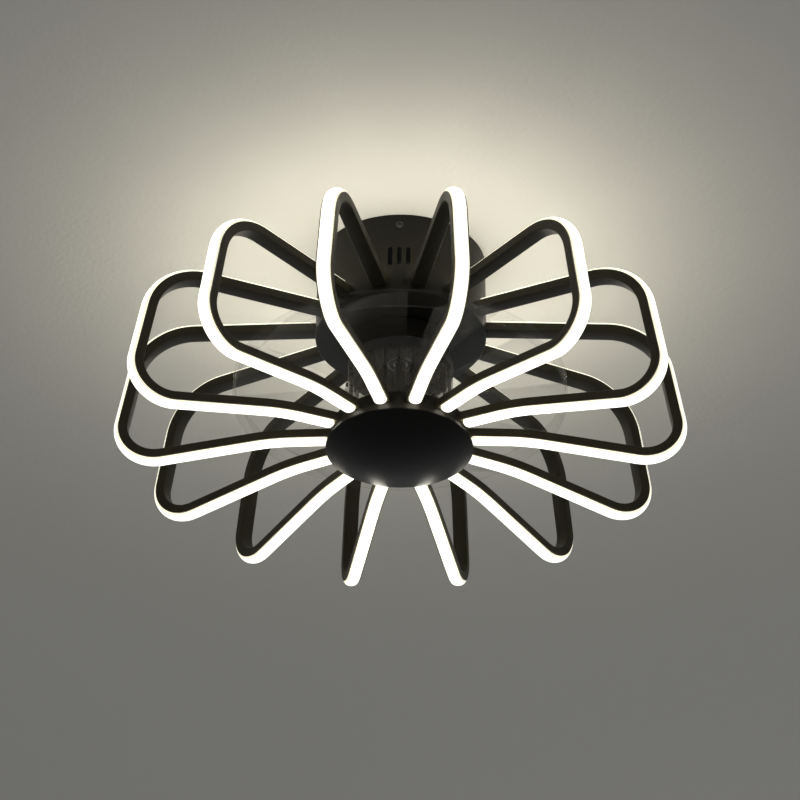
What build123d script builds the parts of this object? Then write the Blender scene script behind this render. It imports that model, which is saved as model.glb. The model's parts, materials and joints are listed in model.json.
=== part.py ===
from build123d import *
import os
from math import atan, cos, degrees, hypot, radians, sin, sqrt, tan

os.makedirs("parts", exist_ok=True)

# A ceiling fan light. A round canopy screws to the ceiling and a short motor hangs under it.
# Fourteen closed petals of black channel stand round a clear impeller. Each petal is fixed at the
# canopy's wall and at a lower hub, which hangs on the motor's fixed hollow shaft.
# Millimetres, +Z up. The ceiling is the plane z = 0 and the lamp hangs below it.

# Bearing of the front, -Y, from the +X axis: the petals stand either side of it
front_angle = -90.0

# Petals: the channel's section, and the outline of its open edge by its corners before rounding.
# The lower arm leaves the hub, bends down a little and turns up into the outer side. The upper
# arm comes back to the canopy, a little above its floor.
petal_count = 14
petal_reach = 300.0
channel_width = 16.0
channel_depth = 10.0
channel_wall = 1.2
end_wall = 2.0
tongue_width = 8.0
tongue_thickness = 1.5
tongue_slot_height = 4.4
tongue_gap = 0.2
lug_height = 6.0
diffuser_rise = 5.0
diffuser_seat = 1.5
diffuser_gap = 0.1
diffuser_chamfer = 3.0
diffuser_inset = 3.0
diffuser_end_radius = 4.0
low_root_drop = 14.0
bend_reach = 60.5
bend_fall = 1.5
bend_radius = 250.0
low_corner_overshoot = 2.8
low_corner_fall = 34.5
low_corner_radius = 40.0
top_corner_inset = 22.5
top_corner_fall = 5.0
top_corner_radius = 66.0
top_root_rise = 18.5

# Light source: rigid strips on the straight runs of each channel's floor
strip_width = 10.0
strip_thickness = 1.0
strip_margin = 4.0

# Canopy and ceiling bracket
canopy_r = 91.7
canopy_height = 100.0
canopy_wall = 1.2
canopy_edge_radius = 2.0
vent_count = 3
vent_length = 23.0
vent_width = 4.6
vent_pitch = 9.5
vent_z = -54.5
side_screw_count = 3
side_screw_z = -13.8
bracket_thickness = 2.0
bracket_slot_edge = 7.0
bracket_arm_width = 24.0
bracket_tab_edge = 8.2
bracket_tab_gap = 2.0
ceiling_slot_spacing = 72.0
ceiling_slot_length = 18.0
ceiling_slot_width = 5.0
wire_hole_r = 12.0

# Fixed hollow shaft and its nuts
shaft_r = 6.0
shaft_bore_r = 4.0
shaft_rise = 14.8
shaft_step = 1.0
shaft_end_length = 20.0
shaft_end_chamfer = 0.5
wire_exit_r = 2.8
nut_wall = 3.5
nut_height = 6.0

# Motor
base_r = 34.0
base_thickness = 3.0
base_chamfer = 0.8
base_boss_wall = 4.0
base_boss_gap = 0.5
base_screw_count = 4
base_screw_circle_r = 24.0
rotor_r = 52.0
rotor_drop = 5.0
rotor_height = 26.0
rotor_wall = 2.5
rotor_edge_radius = 1.5
bearing_wall = 8.0
bearing_width = 7.0
bearing_race = 2.2
bearing_groove = 0.5
bearing_seat_wall = 3.0
bearing_seat_lip = 1.0
magnet_thickness = 3.0
magnet_height = 13.0
stack_height = 7.6
stack_hub_r = 20.0
tooth_count = 12
tooth_width = 7.0
tooth_shoe_width = 18.0
tooth_shoe_thickness = 2.6
winding_thickness = 3.0
winding_outer_width = 15.0
winding_taper = 82.0
winding_end_gap = 1.0
air_gap = 0.6
running_gap = 0.05
press_gap = 0.02

# Impeller and the ring that carries it
cup_overhang = 4.0
cup_wall = 2.0
cup_height = 60.0
web_thickness = 2.5
web_width = 26.0
adapter_height = 13.0
adapter_width = 16.0
adapter_chamfer = 1.5
rib_count = 24
rib_width = 1.4
rib_depth = 1.6
rib_height = 38.0
bead_rise = 1.0
bead_height = 2.0
lip_rise = 2.0
overlap = 0.4
blade_count = 11
blade_overrun = 4.0
blade_thickness = 1.8
blade_camber = 4.0
root_chord = 34.0
root_pitch = 38.0
tip_chord = 78.0
tip_pitch = 13.0
ring_r = 176.8
ring_wall = 2.0
ring_height = 20.0
ring_drop = 16.0
fan_screw_count = 4
fan_screw_inset = 8.0

# Lower hub and bottom cap
hub_r = 72.0
hub_wall = 2.0
hub_drop = 8.0
hub_height = 24.0
hub_plate = 2.5
hub_edge_radius = 1.5
cap_overhang = 5.0
cap_depth = 20.0
cap_wall = 1.2
cap_collar_height = 8.0
cap_collar_gap = 0.2
cap_boss_wall = 4.0
cap_end_gap = 5.0
thread_length = 16.0
thread_well = 1.0

# Clearances and small screws
seat_gap = 0.1
hole_gap = 0.1
screw_angle = 45.0
screw_m3_r = 1.5
head_m3_r = 2.75
head_m3_height = 2.0
screw_m4_r = 2.0
head_m4_r = 4.0
head_m4_height = 2.4

# Levels, from the ceiling down: canopy, rotor, impeller, lower hub, bottom cap
plate_top_z = -canopy_height + canopy_wall
shaft_top_z = plate_top_z + shaft_rise
rotor_top_z = -canopy_height - rotor_drop
rotor_mid_z = rotor_top_z - rotor_height / 2
rotor_bottom_z = rotor_top_z - rotor_height
cup_top_z = rotor_bottom_z - adapter_height
rib_top_z = cup_top_z - web_thickness
rib_bottom_z = rib_top_z - rib_height
ring_top_z = cup_top_z - ring_drop
cup_bottom_z = cup_top_z - cup_height
hub_top_z = cup_bottom_z - hub_drop
hub_bottom_z = hub_top_z - hub_height
cap_rim_z = hub_bottom_z - seat_gap
shaft_bottom_z = cap_rim_z - cap_depth + cap_wall + cap_end_gap

# Radii that pieces share with their neighbours
cup_r = rotor_r + cup_overhang
fan_screw_circle_r = cup_r - fan_screw_inset
bearing_r = shaft_r + bearing_wall
base_boss_r = shaft_r + base_boss_wall
shaft_end_r = shaft_r - shaft_step
cap_r = hub_r + cap_overhang

# Corners and roots of a petal's open edge
low_root_z = hub_top_z - low_root_drop
bend_r = hub_r + bend_reach
bend_z = low_root_z - bend_fall
low_corner_r = petal_reach + low_corner_overshoot
low_corner_z = low_root_z - low_corner_fall
top_root_z = top_root_rise - canopy_height
top_corner_r = petal_reach - top_corner_inset
top_corner_z = top_root_z - top_corner_fall
top_tongue_z = top_root_z - channel_depth / 2
low_tongue_z = low_root_z + channel_depth / 2


def petal_angle(i):
    """Bearing of petal i from the +X axis, the petals standing either side of the front, -Y."""
    return radians(front_angle + 360 / petal_count * (i + 0.5))


def petal_plane(i):
    """Upright plane of petal i: sketch x is the distance from the axis and sketch y is height."""
    a = petal_angle(i)
    return Plane(origin=(0, 0, 0), x_dir=(cos(a), sin(a), 0), z_dir=(sin(a), -cos(a), 0))


def spoke_plane(angle, z):
    """Plane through the axis at height z whose normal points outwards along the bearing."""
    return Plane(origin=(0, 0, z), x_dir=(-sin(angle), cos(angle), 0), z_dir=(cos(angle), sin(angle), 0))


def petal_corners(low_r, top_r):
    """Corners of the channel's open edge, from its lower end at low_r to its upper one at top_r."""
    low_slope = (bend_z - low_root_z) / (bend_r - hub_r)
    top_slope = (top_corner_z - top_root_z) / (top_corner_r - canopy_r)
    return [
        (low_r, low_root_z + (low_r - hub_r) * low_slope),
        (bend_r, bend_z),
        (low_corner_r, low_corner_z),
        (top_corner_r, top_corner_z),
        (top_r, top_root_z + (top_r - canopy_r) * top_slope),
    ]


def petal_edge(low_r, top_r):
    """The rounded open edge of the channel, drawn in the petal's plane."""
    radii = [bend_radius, low_corner_radius, top_corner_radius]
    return FilletPolyline(*petal_corners(low_r, top_r), radius=radii)


def straight_runs():
    """Straight stretches of the open edge between its rounded corners, as pairs of points."""
    pts = petal_corners(hub_r + end_wall, canopy_r + end_wall)
    radii = [0.0, bend_radius, low_corner_radius, top_corner_radius, 0.0]
    heading = [degrees_of(a, b) for a, b in zip(pts, pts[1:])]
    cut = [0.0] * len(pts)
    for i in range(1, len(pts) - 1):
        turn = abs((heading[i] - heading[i - 1] + 180) % 360 - 180)
        cut[i] = radii[i] * tan(radians(turn / 2))
    runs = []
    for i, (a, b) in enumerate(zip(pts, pts[1:])):
        length = hypot(b[0] - a[0], b[1] - a[1])
        runs.append((a, heading[i], cut[i] + strip_margin, length - cut[i + 1] - strip_margin))
    return runs


def degrees_of(a, b):
    """Heading of the line from a to b, in degrees."""
    rise, run = b[1] - a[1], b[0] - a[0]
    if run == 0:
        return 90.0 if rise > 0 else -90.0
    return degrees(atan(rise / run)) + (180.0 if run < 0 else 0.0)


# Ceiling bracket: a pressed plate with three arms, whose bent tabs take the canopy's side screws
tab_outer_r = canopy_r - canopy_wall - bracket_tab_gap
bracket_tab_height = bracket_tab_edge - side_screw_z
bracket_disc_r = ceiling_slot_spacing / 2 + ceiling_slot_length / 2 + bracket_slot_edge
with BuildPart() as ceiling_bracket:
    with BuildSketch(Plane.XY):
        Circle(bracket_disc_r)
        with PolarLocations(tab_outer_r / 2, side_screw_count, start_angle=front_angle):
            Rectangle(tab_outer_r, bracket_arm_width)
        Circle(wire_hole_r, mode=Mode.SUBTRACT)
        with GridLocations(ceiling_slot_spacing, 0, 2, 1):
            SlotOverall(ceiling_slot_length, ceiling_slot_width, mode=Mode.SUBTRACT)
    extrude(amount=-bracket_thickness)
    with BuildSketch(Plane.XY.offset(-bracket_thickness)):
        with PolarLocations(tab_outer_r - bracket_thickness / 2, side_screw_count, start_angle=front_angle):
            Rectangle(bracket_thickness, bracket_arm_width)
    extrude(amount=-(bracket_tab_height - bracket_thickness))
    for i in range(side_screw_count):
        with BuildSketch(spoke_plane(radians(front_angle + 360 / side_screw_count * i), side_screw_z)):
            Circle(screw_m4_r + hole_gap)
        extrude(amount=canopy_r, mode=Mode.SUBTRACT)
ceiling_bracket.part.label = "ceiling_bracket"
export_step(ceiling_bracket.part, "parts/ceiling_bracket.step")

# Canopy: a deep drawn steel drum, open to the ceiling, with vents, screw holes and the arm holes
with BuildPart() as canopy:
    with BuildSketch(Plane.XY):
        Circle(canopy_r)
    extrude(amount=-canopy_height)
    fillet(canopy.edges().group_by(Axis.Z)[0], radius=canopy_edge_radius)
    with BuildSketch(Plane.XY):
        Circle(canopy_r - canopy_wall)
    extrude(amount=plate_top_z, mode=Mode.SUBTRACT)
    with BuildSketch(Plane.XY.offset(-canopy_height)):
        Circle(shaft_r + hole_gap)
        with PolarLocations(base_screw_circle_r, base_screw_count, start_angle=screw_angle):
            Circle(screw_m4_r + hole_gap)
    extrude(amount=canopy_wall, mode=Mode.SUBTRACT)
    with BuildSketch(Plane(origin=(0, 0, vent_z), x_dir=(1, 0, 0), z_dir=(0, -1, 0))):
        with GridLocations(vent_pitch, 0, vent_count, 1):
            SlotOverall(vent_length, vent_width, rotation=90)
    extrude(amount=canopy_r, mode=Mode.SUBTRACT)
    for i in range(side_screw_count):
        with BuildSketch(spoke_plane(radians(front_angle + 360 / side_screw_count * i), side_screw_z)):
            Circle(screw_m4_r + hole_gap)
        extrude(amount=canopy_r, mode=Mode.SUBTRACT)
    for i in range(petal_count):
        with BuildSketch(spoke_plane(petal_angle(i), top_tongue_z)):
            Rectangle(tongue_width + 2 * tongue_gap, tongue_slot_height)
        extrude(amount=canopy_r, mode=Mode.SUBTRACT)
canopy.part.label = "canopy"
export_step(canopy.part, "parts/canopy.step")

# Canopy screws: pan heads outside the drum, shanks into the bracket's tabs
screw_tip_r = tab_outer_r - 2 * bracket_thickness
with BuildPart() as canopy_screws:
    for i in range(side_screw_count):
        angle = radians(front_angle + 360 / side_screw_count * i)
        with BuildSketch(spoke_plane(angle, side_screw_z).offset(screw_tip_r)):
            Circle(screw_m4_r)
        extrude(amount=canopy_r - screw_tip_r + seat_gap)
        with BuildSketch(spoke_plane(angle, side_screw_z).offset(canopy_r + seat_gap)):
            Circle(head_m4_r)
        extrude(amount=head_m4_height)
canopy_screws.part.label = "canopy_screws"
export_step(canopy_screws.part, "parts/canopy_screws.step")

# Boxes that stand on the canopy's floor: the lamp's driver and the fan's controller. Each is a
# closed box with rounded upright edges and a fixing ear at each end.
module_floor_z = plate_top_z + seat_gap
module_corner_radius = 3.0
module_edge_chamfer = 1.0
module_ear = 7.0
module_ear_thickness = 1.6
driver_size = (100.0, 40.0, 27.0)
driver_at = (0.0, 46.0)
controller_size = (80.0, 36.0, 25.0)
controller_at = (0.0, -44.0)
modules = (
    ("led_driver", driver_size, driver_at),
    ("fan_controller", controller_size, controller_at),
)
for label, size, place in modules:
    with BuildPart() as module:
        with BuildSketch(Plane((*place, module_floor_z))):
            RectangleRounded(size[0], size[1], module_corner_radius)
        extrude(amount=size[2])
        chamfer(module.edges().group_by(Axis.Z)[-1], length=module_edge_chamfer)
        with BuildSketch(Plane((*place, module_floor_z))):
            Rectangle(size[0] + 2 * module_ear, size[1] / 2)
            with GridLocations(size[0] + module_ear, 0, 2, 1):
                Circle(screw_m3_r + hole_gap, mode=Mode.SUBTRACT)
        extrude(amount=module_ear_thickness)
    module.part.label = label
    export_step(module.part, f"parts/{label}.step")

# Terminal block: three ways, with a wire hole through each and a screw well above it
terminal_ways = 3
terminal_size = (20.0, 22.0, 16.0)
terminal_at = (-62.0, 0.0)
terminal_pitch = terminal_size[1] / terminal_ways
terminal_well_r = 2.0
terminal_well_depth = 6.0
terminal_wire_r = 1.8
terminal_wire_z = module_floor_z + 5.0
terminal_top_z = module_floor_z + terminal_size[2]
terminal_wire_plane = Plane(origin=(*terminal_at, terminal_wire_z), x_dir=(0, 1, 0), z_dir=(1, 0, 0))
with BuildPart() as terminal_block:
    with BuildSketch(Plane((*terminal_at, module_floor_z))):
        Rectangle(terminal_size[0], terminal_size[1])
    extrude(amount=terminal_size[2])
    with BuildSketch(Plane((*terminal_at, terminal_top_z))):
        with GridLocations(0, terminal_pitch, 1, terminal_ways):
            Circle(terminal_well_r)
    extrude(amount=-terminal_well_depth, mode=Mode.SUBTRACT)
    with BuildSketch(terminal_wire_plane):
        with GridLocations(terminal_pitch, 0, terminal_ways, 1):
            Circle(terminal_wire_r)
    extrude(amount=terminal_size[0], both=True, mode=Mode.SUBTRACT)
terminal_block.part.label = "terminal_block"
export_step(terminal_block.part, "parts/terminal_block.step")

# Module screws: short self-tapping screws through the ears
with BuildPart() as module_screws:
    for label, size, place in modules:
        with BuildSketch(Plane((*place, module_floor_z))):
            with GridLocations(size[0] + module_ear, 0, 2, 1):
                Circle(screw_m3_r)
        extrude(amount=module_ear_thickness + seat_gap)
        with BuildSketch(Plane((*place, module_floor_z + module_ear_thickness + seat_gap))):
            with GridLocations(size[0] + module_ear, 0, 2, 1):
                Circle(head_m3_r)
        extrude(amount=head_m3_height)
module_screws.part.label = "module_screws"
export_step(module_screws.part, "parts/module_screws.step")

# Motor base: a flange under the canopy's floor with a boss that the shaft passes through
with BuildPart() as motor_base:
    with BuildSketch(Plane.XY.offset(-canopy_height)):
        Circle(base_r)
    extrude(amount=-base_thickness)
    with BuildSketch(Plane.XY.offset(-canopy_height)):
        Circle(base_boss_r)
    extrude(amount=base_boss_gap - rotor_drop)
    chamfer(motor_base.edges().filter_by(GeomType.CIRCLE).sort_by(SortBy.RADIUS)[-2:], length=base_chamfer)
    with BuildSketch(Plane.XY.offset(-canopy_height)):
        Circle(shaft_r + hole_gap / 2)
        with PolarLocations(base_screw_circle_r, base_screw_count, start_angle=screw_angle):
            Circle(screw_m4_r + hole_gap / 2)
    extrude(amount=-2 * base_thickness, mode=Mode.SUBTRACT)
motor_base.part.label = "motor_base"
export_step(motor_base.part, "parts/motor_base.step")

# Motor base screws: from inside the canopy down into the flange
with BuildPart() as motor_base_screws:
    with BuildSketch(Plane.XY.offset(plate_top_z)):
        with PolarLocations(base_screw_circle_r, base_screw_count, start_angle=screw_angle):
            Circle(screw_m4_r)
    extrude(amount=-(canopy_wall + base_thickness))
    with BuildSketch(Plane.XY.offset(plate_top_z)):
        with PolarLocations(base_screw_circle_r, base_screw_count, start_angle=screw_angle):
            Circle(head_m4_r)
    extrude(amount=head_m4_height)
motor_base_screws.part.label = "motor_base_screws"
export_step(motor_base_screws.part, "parts/motor_base_screws.step")

# Motor shaft: a fixed steel tube from inside the canopy to the bottom cap, its end turned down
with BuildPart() as motor_shaft:
    with BuildSketch(Plane.XY.offset(shaft_top_z)):
        Circle(shaft_r)
    extrude(amount=shaft_bottom_z + shaft_end_length - shaft_top_z)
    with BuildSketch(Plane.XY.offset(shaft_bottom_z + shaft_end_length)):
        Circle(shaft_end_r)
    extrude(amount=-shaft_end_length)
    chamfer(motor_shaft.edges().group_by(Axis.Z)[0], length=shaft_end_chamfer)
    with BuildSketch(Plane.XY.offset(shaft_top_z)):
        Circle(shaft_bore_r)
    extrude(amount=shaft_bottom_z - shaft_top_z, mode=Mode.SUBTRACT)
    with BuildSketch(spoke_plane(0.0, hub_top_z - hub_plate - nut_height - shaft_bore_r)):
        Circle(wire_exit_r)
    extrude(amount=shaft_r, both=True, mode=Mode.SUBTRACT)
motor_shaft.part.label = "motor_shaft"
export_step(motor_shaft.part, "parts/motor_shaft.step")

# Shaft nuts: one on the canopy's floor, one on each side of the lower hub's plate
with BuildPart() as shaft_nuts:
    nut_bases = [
        plate_top_z + seat_gap,
        hub_top_z + seat_gap,
        hub_top_z - hub_plate - seat_gap - nut_height,
    ]
    for base_z in nut_bases:
        with BuildSketch(Plane.XY.offset(base_z)):
            RegularPolygon(shaft_r + nut_wall, 6, major_radius=False)
            Circle(shaft_r + hole_gap / 2, mode=Mode.SUBTRACT)
        extrude(amount=nut_height)
shaft_nuts.part.label = "shaft_nuts"
export_step(shaft_nuts.part, "parts/shaft_nuts.step")

# Ball bearings: pressed on the shaft, with the running fit at their outside
upper_bearing_z = rotor_top_z - bearing_seat_lip
lower_bearing_z = rotor_bottom_z + bearing_width
for label, top_z in (("upper_bearing", upper_bearing_z), ("lower_bearing", lower_bearing_z)):
    with BuildPart() as bearing:
        with BuildSketch(Plane.XY.offset(top_z)):
            Circle(bearing_r)
            Circle(shaft_r + press_gap, mode=Mode.SUBTRACT)
        extrude(amount=-bearing_width)
        for face_z in (top_z, top_z - bearing_width):
            with BuildSketch(Plane.XY.offset(face_z)):
                Circle(bearing_r - bearing_race)
                Circle(shaft_r + bearing_race, mode=Mode.SUBTRACT)
            extrude(amount=bearing_groove, both=True, mode=Mode.SUBTRACT)
    bearing.part.label = label
    export_step(bearing.part, f"parts/{label}.step")

# Stator core: a stack of laminations with a hub, twelve teeth and a shoe at each tooth's tip
magnet_outer_r = rotor_r - rotor_wall
stator_r = magnet_outer_r - magnet_thickness - air_gap
with BuildPart() as stator_core:
    with BuildSketch(Plane.XY.offset(rotor_mid_z - stack_height / 2)):
        Circle(stack_hub_r)
        with PolarLocations(stator_r / 2, tooth_count):
            Rectangle(stator_r - tooth_shoe_thickness, tooth_width)
        with PolarLocations(stator_r - tooth_shoe_thickness, tooth_count):
            Rectangle(2 * tooth_shoe_thickness, tooth_shoe_width)
        Circle(stator_r, mode=Mode.INTERSECT)
        Circle(shaft_r + press_gap, mode=Mode.SUBTRACT)
    extrude(amount=stack_height)
stator_core.part.label = "stator_core"
export_step(stator_core.part, "parts/stator_core.step")

# Stator windings: one closed coil round each tooth
winding_inner_r = stack_hub_r + winding_end_gap
winding_outer_r = stator_r - 2 * tooth_shoe_thickness - winding_end_gap / 2
winding_height = stack_height + 2 * winding_thickness
with BuildPart() as stator_windings:
    with BuildSketch(Plane.XY.offset(rotor_mid_z - winding_height / 2)):
        with PolarLocations((winding_inner_r + winding_outer_r) / 2, tooth_count):
            Trapezoid(
                winding_outer_width,
                winding_outer_r - winding_inner_r,
                winding_taper,
                rotation=90,
            )
    extrude(amount=winding_height)
    with BuildSketch(Plane.XY.offset(rotor_mid_z - stack_height / 2 - seat_gap)):
        with PolarLocations((winding_inner_r + winding_outer_r) / 2, tooth_count):
            Rectangle(winding_outer_r, tooth_width + 2 * seat_gap)
    extrude(amount=stack_height + 2 * seat_gap, mode=Mode.SUBTRACT)
stator_windings.part.label = "stator_windings"
export_step(stator_windings.part, "parts/stator_windings.step")

# Rotor cover: the upper end of the turning case, with the seat of the upper bearing
seat_r = bearing_r + running_gap
boss_r = seat_r + bearing_seat_wall
with BuildPart() as rotor_cover:
    with BuildSketch(Plane.XY.offset(rotor_top_z)):
        Circle(rotor_r)
    extrude(amount=-rotor_wall)
    fillet(rotor_cover.edges().group_by(Axis.Z)[-1], radius=rotor_edge_radius)
    with BuildSketch(Plane.XY.offset(rotor_top_z)):
        Circle(boss_r)
    extrude(amount=-(bearing_width + bearing_seat_lip))
    with BuildSketch(Plane.XY.offset(upper_bearing_z)):
        Circle(seat_r)
    extrude(amount=-bearing_width, mode=Mode.SUBTRACT)
    with BuildSketch(Plane.XY.offset(rotor_top_z)):
        Circle(base_boss_r + bearing_seat_lip)
    extrude(amount=-2 * bearing_seat_lip, mode=Mode.SUBTRACT)
rotor_cover.part.label = "rotor_cover"
export_step(rotor_cover.part, "parts/rotor_cover.step")

# Rotor shell: the turning case that carries the magnets, with the seat of the lower bearing
with BuildPart() as rotor_shell:
    with BuildSketch(Plane.XY.offset(rotor_top_z - rotor_wall)):
        Circle(rotor_r)
        Circle(magnet_outer_r, mode=Mode.SUBTRACT)
    extrude(amount=-(rotor_height - rotor_wall))
    with BuildSketch(Plane.XY.offset(rotor_bottom_z)):
        Circle(rotor_r)
    extrude(amount=rotor_wall)
    with BuildSketch(Plane.XY.offset(rotor_bottom_z)):
        Circle(boss_r)
    extrude(amount=bearing_width + bearing_seat_lip / 2)
    with BuildSketch(Plane.XY.offset(rotor_bottom_z)):
        Circle(seat_r)
    extrude(amount=bearing_width, mode=Mode.SUBTRACT)
    with BuildSketch(Plane.XY.offset(rotor_bottom_z)):
        Circle(bearing_r - 2 * bearing_race)
    extrude(amount=2 * bearing_width, mode=Mode.SUBTRACT)
    with BuildSketch(Plane.XY.offset(rotor_bottom_z)):
        with PolarLocations(fan_screw_circle_r, fan_screw_count, start_angle=screw_angle):
            Circle(screw_m4_r + hole_gap / 2)
    extrude(amount=rotor_wall, mode=Mode.SUBTRACT)
rotor_shell.part.label = "rotor_shell"
export_step(rotor_shell.part, "parts/rotor_shell.step")

# Magnet ring: bonded inside the rotor's wall
with BuildPart() as magnet_ring:
    with BuildSketch(Plane.XY.offset(rotor_mid_z - magnet_height / 2)):
        Circle(magnet_outer_r - press_gap)
        Circle(magnet_outer_r - magnet_thickness, mode=Mode.SUBTRACT)
    extrude(amount=magnet_height)
magnet_ring.part.label = "magnet_ring"
export_step(magnet_ring.part, "parts/magnet_ring.step")

# Adapter ring: a black spacer between the rotor and the impeller's web
with BuildPart() as adapter_ring:
    with BuildSketch(Plane.XY.offset(rotor_bottom_z)):
        Circle(cup_r)
        Circle(cup_r - adapter_width, mode=Mode.SUBTRACT)
        with PolarLocations(fan_screw_circle_r, fan_screw_count, start_angle=screw_angle):
            Circle(screw_m4_r + hole_gap, mode=Mode.SUBTRACT)
    extrude(amount=-adapter_height)
    rims = adapter_ring.edges().filter_by(GeomType.CIRCLE).group_by(Axis.Z)[-1]
    chamfer(rims.sort_by(SortBy.RADIUS)[-1], length=adapter_chamfer)
adapter_ring.part.label = "adapter_ring"
export_step(adapter_ring.part, "parts/adapter_ring.step")


def blade_points(chord, pitch):
    """Six points of a cambered blade's outline: the lower skin's start, middle and end, then the upper's."""
    turn = radians(pitch)
    half, skin = chord / 2, blade_thickness / 2
    flat = [
        (-half, -skin),
        (0, blade_camber - skin),
        (half, -skin),
        (half, skin),
        (0, blade_camber + skin),
        (-half, skin),
    ]
    return [(x * cos(turn) - y * sin(turn), x * sin(turn) + y * cos(turn)) for x, y in flat]


# One blade, twisted and widening from the cup to the ring, a little long at both ends
blade_level = ring_top_z - ring_height / 2
blade_root_r = cup_r - cup_wall - blade_overrun
blade_tip_r = ring_r + blade_overrun
with BuildPart() as blade:
    for r, chord, pitch in (
        (blade_root_r, root_chord, root_pitch),
        (blade_tip_r, tip_chord, tip_pitch),
    ):
        pts = blade_points(chord, pitch)
        with BuildSketch(spoke_plane(0.0, blade_level).offset(r)):
            with BuildLine():
                ThreePointArc(*pts[:3])
                Line(pts[2], pts[3])
                ThreePointArc(*pts[3:])
                Line(pts[5], pts[0])
            make_face()
    loft(ruled=True)

# Impeller: one clear moulding of web, cup, ribs, blades and outer ring
with BuildPart() as impeller:
    with PolarLocations(0, blade_count):
        add(blade.part)
    with BuildSketch(Plane.XY.offset(ring_top_z + ring_height)):
        Circle(ring_r - ring_wall / 2)
        Circle(cup_r - cup_wall / 2, mode=Mode.SUBTRACT)
    extrude(amount=-3 * ring_height, mode=Mode.INTERSECT)
    with BuildSketch(Plane.XZ):
        with Locations((cup_r - cup_wall / 2, cup_top_z - cup_height / 2)):
            Rectangle(cup_wall, cup_height)
        with Locations((cup_r - web_width / 2, cup_top_z - web_thickness / 2)):
            Rectangle(web_width, web_thickness)
        with Locations((cup_r - cup_wall / 2 + bead_rise / 2, rib_bottom_z - bead_height / 2)):
            Rectangle(cup_wall + bead_rise, bead_height)
        with Locations((cup_r - cup_wall / 2 + lip_rise / 2, cup_bottom_z + bead_height / 2)):
            Rectangle(cup_wall + lip_rise, bead_height)
        with Locations((ring_r - ring_wall / 2, ring_top_z - ring_height / 2)):
            Rectangle(ring_wall, ring_height)
    revolve(axis=Axis.Z)
    with BuildSketch(Plane.XY.offset(rib_top_z)):
        with PolarLocations(cup_r - cup_wall - rib_depth / 2 + overlap / 2, rib_count):
            Rectangle(rib_depth + overlap, rib_width)
    extrude(amount=-rib_height)
    with BuildSketch(Plane.XY.offset(cup_top_z)):
        with PolarLocations(fan_screw_circle_r, fan_screw_count, start_angle=screw_angle):
            Circle(screw_m4_r + hole_gap)
    extrude(amount=-web_thickness, mode=Mode.SUBTRACT)
impeller.part.label = "impeller"
export_step(impeller.part, "parts/impeller.step")

# Impeller screws: up through the web and the adapter ring into the rotor
with BuildPart() as impeller_screws:
    with BuildSketch(Plane.XY.offset(rib_top_z)):
        with PolarLocations(fan_screw_circle_r, fan_screw_count, start_angle=screw_angle):
            Circle(screw_m4_r)
    extrude(amount=web_thickness + adapter_height + rotor_wall - seat_gap)
    with BuildSketch(Plane.XY.offset(rib_top_z)):
        with PolarLocations(fan_screw_circle_r, fan_screw_count, start_angle=screw_angle):
            Circle(head_m4_r)
    extrude(amount=-head_m4_height)
impeller_screws.part.label = "impeller_screws"
export_step(impeller_screws.part, "parts/impeller_screws.step")

# Lower hub: a shallow turned cup, closed above, that takes the petals' lower ends on its wall
with BuildPart() as lower_hub:
    with BuildSketch(Plane.XY.offset(hub_top_z)):
        Circle(hub_r)
    extrude(amount=-hub_height)
    fillet(lower_hub.edges().group_by(Axis.Z)[-1], radius=hub_edge_radius)
    with BuildSketch(Plane.XY.offset(hub_top_z - hub_plate)):
        Circle(hub_r - hub_wall)
    extrude(amount=-(hub_height - hub_plate), mode=Mode.SUBTRACT)
    with BuildSketch(Plane.XY.offset(hub_top_z)):
        Circle(shaft_r + hole_gap)
    extrude(amount=-hub_plate, mode=Mode.SUBTRACT)
    for i in range(petal_count):
        with BuildSketch(spoke_plane(petal_angle(i), low_tongue_z)):
            Rectangle(tongue_width + 2 * tongue_gap, tongue_slot_height)
        extrude(amount=hub_r, mode=Mode.SUBTRACT)
lower_hub.part.label = "lower_hub"
export_step(lower_hub.part, "parts/lower_hub.step")

# Board standoffs and the wiring board that feeds the petals
board_edge_gap = 14.0
board_width = 32.0
board_thickness = 1.6
board_outer_r = hub_r - board_edge_gap
standoff_count = 4
standoff_r = 3.0
standoff_height = 5.0
standoff_inset = 14.0
board_top_z = hub_top_z - hub_plate - seat_gap - standoff_height
with BuildPart() as board_standoffs:
    with BuildSketch(Plane.XY.offset(board_top_z)):
        with PolarLocations(board_outer_r - standoff_inset, standoff_count):
            RegularPolygon(standoff_r, 6)
    extrude(amount=standoff_height)
board_standoffs.part.label = "board_standoffs"
export_step(board_standoffs.part, "parts/board_standoffs.step")

connector_size = (7.0, 6.0, 4.5)
with BuildPart() as wiring_board:
    with BuildSketch(Plane.XY.offset(board_top_z)):
        Circle(board_outer_r)
        Circle(board_outer_r - board_width, mode=Mode.SUBTRACT)
    extrude(amount=-board_thickness)
    with BuildSketch(Plane.XY.offset(board_top_z - board_thickness)):
        first_angle = degrees(petal_angle(0))
        with PolarLocations(board_outer_r - connector_size[0] / 2, petal_count, start_angle=first_angle):
            Rectangle(connector_size[0], connector_size[1])
    extrude(amount=-connector_size[2])
wiring_board.part.label = "wiring_board"
export_step(wiring_board.part, "parts/wiring_board.step")

# Bottom cap: a shallow spun dome with a flat rim, a locating collar and a threaded boss
cap_sagitta = cap_depth - cap_wall
dome_r = (cap_r**2 + cap_sagitta**2) / (2 * cap_sagitta)
dome_centre_z = cap_rim_z - cap_depth + dome_r
collar_r = hub_r - hub_wall - cap_collar_gap
cavity_r = collar_r - cap_wall
boss_top_z = shaft_bottom_z + thread_length


def dome_point(radius, r):
    """Point of a dome's outline at distance r from the axis."""
    return (r, dome_centre_z - sqrt(radius**2 - r**2))


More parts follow.
